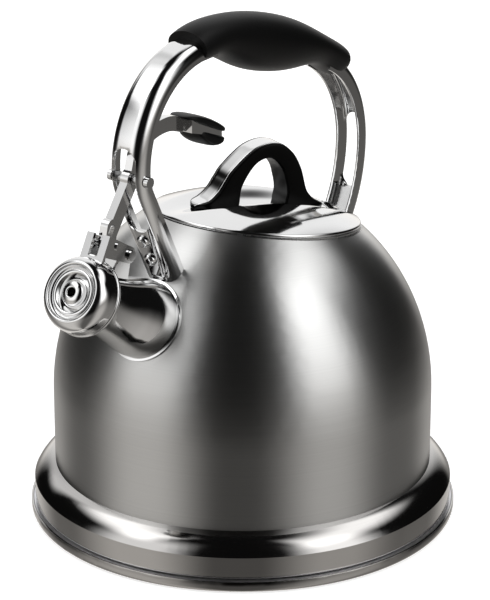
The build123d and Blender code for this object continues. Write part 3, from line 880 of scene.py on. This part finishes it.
@dataclass
class Studio:
    """White floor and soft panels around a plain grey room.

    Attributes:
        floor_size: Side of the floor in metres.
        floor_color: Grey of the floor.
        floor_roughness: Roughness of the floor.
        floor_lift: Glow that lifts the floor to white for the camera alone.
        room: Radiance of the room between the panels.
        low_tint: Colour of the light from below the horizon.
        tint_span: Heights of a direction between which that colour turns to white.
        panels: Bright panels.
    """

    floor_size: float = 12.0
    floor_color: float = 0.80
    floor_roughness: float = 0.9
    floor_lift: float = 0.66
    room: float = 0.006
    low_tint: tuple[float, float, float] = (1.0, 0.965, 0.92)
    tint_span: tuple[float, float] = (-0.2, 0.3)
    panels: Sequence[Panel] = (
        Panel(-60.0, 22.0, 26.0, 0.0, 52.0, 1.40),
        Panel(-62.0, 28.0, 40.0, -100.0, 0.0, 0.60),
        Panel(-98.0, 34.0, 20.0, 41.0, 68.0, 2.40),
        Panel(55.0, 19.0, 26.0, 4.0, 50.0, 2.00),
        Panel(54.0, 26.0, 40.0, -100.0, 4.0, 0.45),
        Panel(88.0, 46.0, 20.0, 42.0, 68.0, 2.10),
        Panel(-143.0, 9.0, 12.0, 18.0, 60.0, 1.05),
        Panel(180.0, 26.0, 16.0, -8.0, 60.0, 1.15),
        Panel(180.0, 42.0, 32.0, -100.0, -20.0, 0.62),
        Panel(180.0, 92.0, 40.0, -100.0, -20.0, 0.14),
        Panel(0.0, 200.0, 20.0, -100.0, -16.0, 0.12),
    )

    def place(self, shot: Shot) -> None:
        """Adds floor and surroundings.

        Args:
            shot: Camera that the panels are placed by.
        """
        self._floor()
        self._surroundings(shot)

    def _floor(self) -> None:
        """Adds the floor, a flat square."""
        half = self.floor_size / 2
        corners = [(-half, -half, 0), (half, -half, 0), (half, half, 0), (-half, half, 0)]
        mesh = bpy.data.meshes.new("floor")
        mesh.from_pydata(corners, [], [(0, 1, 2, 3)])
        mesh.materials.append(self._floor_look())
        floor = bpy.data.objects.new("floor", mesh)
        bpy.context.scene.collection.objects.link(floor)

    def _floor_look(self) -> bpy.types.Material:
        """Makes the floor's material, which glows for the camera and isn't there for mirrored light.

        Returns:
            The new material.
        """
        material = bpy.data.materials.new("floor")
        material.use_nodes = True
        tree = material.node_tree
        shader = tree.nodes["Principled BSDF"]
        shader.inputs["Base Color"].default_value = (self.floor_color,) * 3 + (1.0,)
        shader.inputs["Roughness"].default_value = self.floor_roughness
        shader.inputs["Emission Color"].default_value = WHITE
        rays = tree.nodes.new("ShaderNodeLightPath")
        lift = calculate(tree, "MULTIPLY", rays.outputs["Is Camera Ray"], self.floor_lift)
        tree.links.new(lift, shader.inputs["Emission Strength"])
        gone = tree.nodes.new("ShaderNodeBsdfTransparent")
        mix = tree.nodes.new("ShaderNodeMixShader")
        tree.links.new(rays.outputs["Is Glossy Ray"], mix.inputs["Fac"])
        tree.links.new(shader.outputs["BSDF"], mix.inputs[1])
        tree.links.new(gone.outputs["BSDF"], mix.inputs[2])
        tree.links.new(mix.outputs["Shader"], tree.nodes["Material Output"].inputs["Surface"])
        return material

    def _surroundings(self, shot: Shot) -> None:
        """Makes the background white for the camera and a lit room in reflections.

        Args:
            shot: Camera that the panels are placed by.
        """
        world = bpy.data.worlds.new("surroundings")
        bpy.context.scene.world = world
        world.use_nodes = True
        tree = world.node_tree
        tree.nodes.clear()
        rays = tree.nodes.new("ShaderNodeLightPath")
        seen = tree.nodes.new("ShaderNodeBackground")
        seen.inputs["Color"].default_value = WHITE
        around = tree.nodes.new("ShaderNodeBackground")
        tree.links.new(self._radiance(tree, shot), around.inputs["Strength"])
        tree.links.new(self._tint(tree), around.inputs["Color"])
        mix = tree.nodes.new("ShaderNodeMixShader")
        out = tree.nodes.new("ShaderNodeOutputWorld")
        tree.links.new(rays.outputs["Is Camera Ray"], mix.inputs["Fac"])
        tree.links.new(around.outputs["Background"], mix.inputs[1])
        tree.links.new(seen.outputs["Background"], mix.inputs[2])
        tree.links.new(mix.outputs["Shader"], out.inputs["Surface"])

    def _tint(self, tree: Tree) -> Socket:
        """Colours the light by its height.

        Args:
            tree: Node tree of the surroundings.

        Returns:
            Socket that carries the colour.
        """
        coords = tree.nodes.new("ShaderNodeTexCoord")
        parts = tree.nodes.new("ShaderNodeSeparateXYZ")
        mix = tree.nodes.new("ShaderNodeMixRGB")
        mix.inputs["Color1"].default_value = (*self.low_tint, 1.0)
        mix.inputs["Color2"].default_value = WHITE
        tree.links.new(coords.outputs["Generated"], parts.inputs["Vector"])
        tree.links.new(fade(tree, parts.outputs["Z"], *self.tint_span), mix.inputs["Fac"])
        return mix.outputs["Color"]

    def _radiance(self, tree: Tree, shot: Shot) -> Socket:
        """Adds up the panels over the room.

        Args:
            tree: Node tree of the surroundings.
            shot: Camera that the panels are placed by.

        Returns:
            Socket that carries the radiance.
        """
        coords = tree.nodes.new("ShaderNodeTexCoord")
        turn = tree.nodes.new("ShaderNodeVectorRotate")
        turn.rotation_type = "Z_AXIS"
        turn.inputs["Angle"].default_value = math.radians(180.0 - shot.azimuth)
        parts = tree.nodes.new("ShaderNodeSeparateXYZ")
        tree.links.new(coords.outputs["Generated"], turn.inputs["Vector"])
        tree.links.new(turn.outputs["Vector"], parts.inputs["Vector"])
        azimuth = calculate(tree, "ARCTAN2", parts.outputs["Y"], parts.outputs["X"])
        elevation = calculate(tree, "ARCSINE", parts.outputs["Z"])
        total = None
        for panel in self.panels:
            light = self._panel(tree, panel, azimuth, elevation)
            total = light if total is None else calculate(tree, "ADD", total, light)
        return calculate(tree, "ADD", total, self.room)

    def _panel(self, tree: Tree, panel: Panel, azimuth: Socket, elevation: Socket) -> Socket:
        """Draws one panel: its strength, faded by the angle from its middle both across and along it.

        Args:
            tree: Node tree of the surroundings.
            panel: Panel to draw.
            azimuth: Socket of the direction's azimuth in radians.
            elevation: Socket of the direction's elevation in radians.

        Returns:
            Socket that carries the panel's radiance.
        """
        edge = math.radians(panel.edge) / 2
        middle = math.radians((panel.low + panel.high) / 2)
        height = math.radians((panel.high - panel.low) / 2)
        width = math.radians(panel.half_width)
        aside = calculate(tree, "SUBTRACT", azimuth, math.radians(panel.azimuth))
        aside = calculate(tree, "WRAP", aside, math.pi, -math.pi)
        across = fade(tree, calculate(tree, "ABSOLUTE", aside), width + edge, width - edge)
        above = calculate(tree, "ABSOLUTE", calculate(tree, "SUBTRACT", elevation, middle))
        along = fade(tree, above, height + edge, height - edge)
        light = calculate(tree, "MULTIPLY", across, along)
        return calculate(tree, "MULTIPLY", light, panel.strength)


def calculate(tree: Tree, operation: str, *values: Socket | float) -> Socket:
    """Adds a math node.

    Args:
        tree: Node tree that gets the node.
        operation: Name of the operation.
        values: Sockets or numbers that it takes.

    Returns:
        Socket of the result.
    """
    node = tree.nodes.new("ShaderNodeMath")
    node.operation = operation
    for socket, value in zip(node.inputs, values):
        if isinstance(value, (int, float)):
            socket.default_value = value
        else:
            tree.links.new(value, socket)
    return node.outputs["Value"]


def fade(tree: Tree, value: Socket, dark: float, bright: float) -> Socket:
    """Adds a smooth step from 0 at one value to 1 at another.

    Args:
        tree: Node tree that gets the node.
        value: Socket that is tested.
        dark: Value that gives 0.
        bright: Value that gives 1.

    Returns:
        Socket of the result.
    """
    node = tree.nodes.new("ShaderNodeMapRange")
    node.interpolation_type = "SMOOTHSTEP"
    node.inputs["From Min"].default_value = dark
    node.inputs["From Max"].default_value = bright
    tree.links.new(value, node.inputs["Value"])
    return node.outputs["Result"]


def main() -> None:
    """Dresses the kettle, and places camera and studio."""
    logging.basicConfig(level=logging.INFO, format="%(name)s: %(message)s")
    bpy.context.scene.view_settings.view_transform = "Standard"
    wardrobe = Wardrobe()
    for node in frame["nodes"]:
        wardrobe.dress(node)
    for node, width in SOFT_EDGES.items():
        wardrobe.soften(node, width)
    for node in SEAMED:
        wardrobe.seal(node)
    wardrobe.fit(Lid(LID_PLACE).build(), "lid_shell", "lid")
    for node, piece in Knob(LID_PLACE).build().items():
        wardrobe.fit(piece, node, "lid")
    wardrobe.fit(Spout(SPOUT_PLACE).build(), "spout_tube", "kettle")
    for node, piece in Whistle(SPOUT_PLACE).build().items():
        wardrobe.fit(piece, node, "cap")
    for node, pad in PADS.items():
        wardrobe.fit(pad.build(), node, "lever")
    shot = Shot()
    shot.place()
    Studio().place(shot)


if __name__ == "__main__":
    main()
